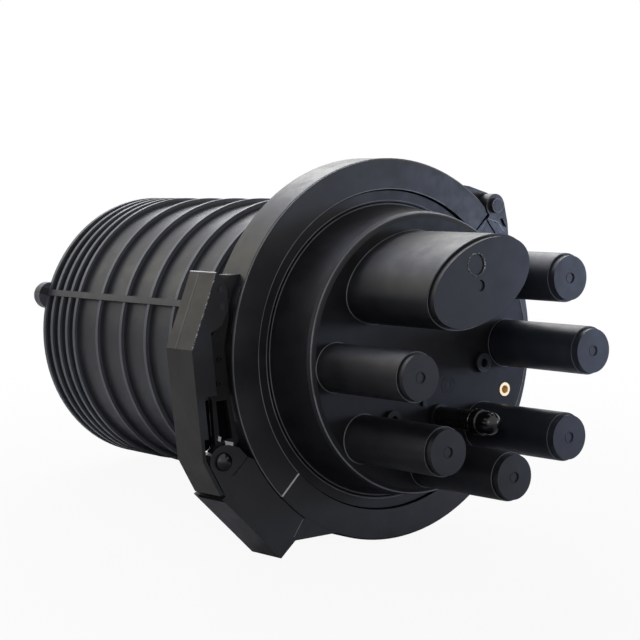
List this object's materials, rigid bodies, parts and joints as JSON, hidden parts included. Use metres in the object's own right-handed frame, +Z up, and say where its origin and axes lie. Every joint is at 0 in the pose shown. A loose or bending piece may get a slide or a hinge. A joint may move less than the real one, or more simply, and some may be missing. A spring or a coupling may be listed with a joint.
{
  "type": "dome splice closure",
  "caption": "Black cable splice closure: ribbed dome, base with closed round ports and an oval port, held by a hinged clamp ring with a toggle latch.",
  "frame": {"origin": "middle of the flat outer face of the base", "axes": "+X along the closure's axis, out of the ports; +Z up as it lies in the picture; the dome is at -X"},
  "size_m": [0.4962, 0.3355, 0.3],
  "materials": {
    "base": "satin moulded black",
    "dome": "satin moulded black",
    "clamp": "satin moulded black",
    "latch": "fine grained black",
    "latch_pin": "polished black head",
    "pin": "black plated steel",
    "spring": "bright spring steel",
    "seal": "smooth silicone",
    "valve": "black plated",
    "cap": "glossy black",
    "brass": "turned",
    "sheet": "folded sheet",
    "bolt": "zinc plated",
    "tray_black": "moulded",
    "tray_grey": "moulded light grey",
    "lid": "clear cover"
  },
  "bodies": {
    "closure": {"base_shell": "base", "dome_shell": "dome", "sealing_ring": "seal", "clamp_upper": "clamp", "clamp_lower": "clamp", "clamp_hinge_pin": "pin", "latch_pivot_pin": "latch_pin", "valve_stem": "valve", "threaded_insert": "brass", "tray_frame": "sheet", "frame_bolts": "bolt", "tray_holder": "tray_black", "splice_holders": "tray_black", "tray_lid": "lid", "fibre_basket": "tray_grey", "cable_anchors": "bolt", "splice_tray_1": "tray_grey", "splice_tray_2": "tray_grey", "splice_tray_3": "tray_grey", "splice_tray_4": "tray_grey"},
    "link": {"latch_link": "latch", "latch_spring": "spring"},
    "lever": {"latch_lever": "latch", "latch_lever_pin": "pin", "latch_hook_pin": "pin"},
    "cap": {"valve_cap": "cap"}
  },
  "joints": [
    {"name": "link_turn", "type": "hinge", "parent": "closure", "child": "link", "pos_m": [-0.059, -0.16182, -0.06703], "axis": [1, 0, 0], "range_deg": [0, 31]},
    {"name": "lever_turn", "type": "hinge", "parent": "link", "child": "lever", "pos_m": [-0.059, -0.15782, 0.06107], "axis": [-1, 0, 0], "range_deg": [0, 88]},
    {"name": "valve_cap_turn", "type": "hinge", "parent": "closure", "child": "cap", "pos_m": [0.056, 0.01196, -0.05019], "axis": [1, 0, 0], "continuous": true}
  ],
  "couplings": [
    {"joint": "link_turn", "follows": "lever_turn", "ratio": 0.35}
  ]
}
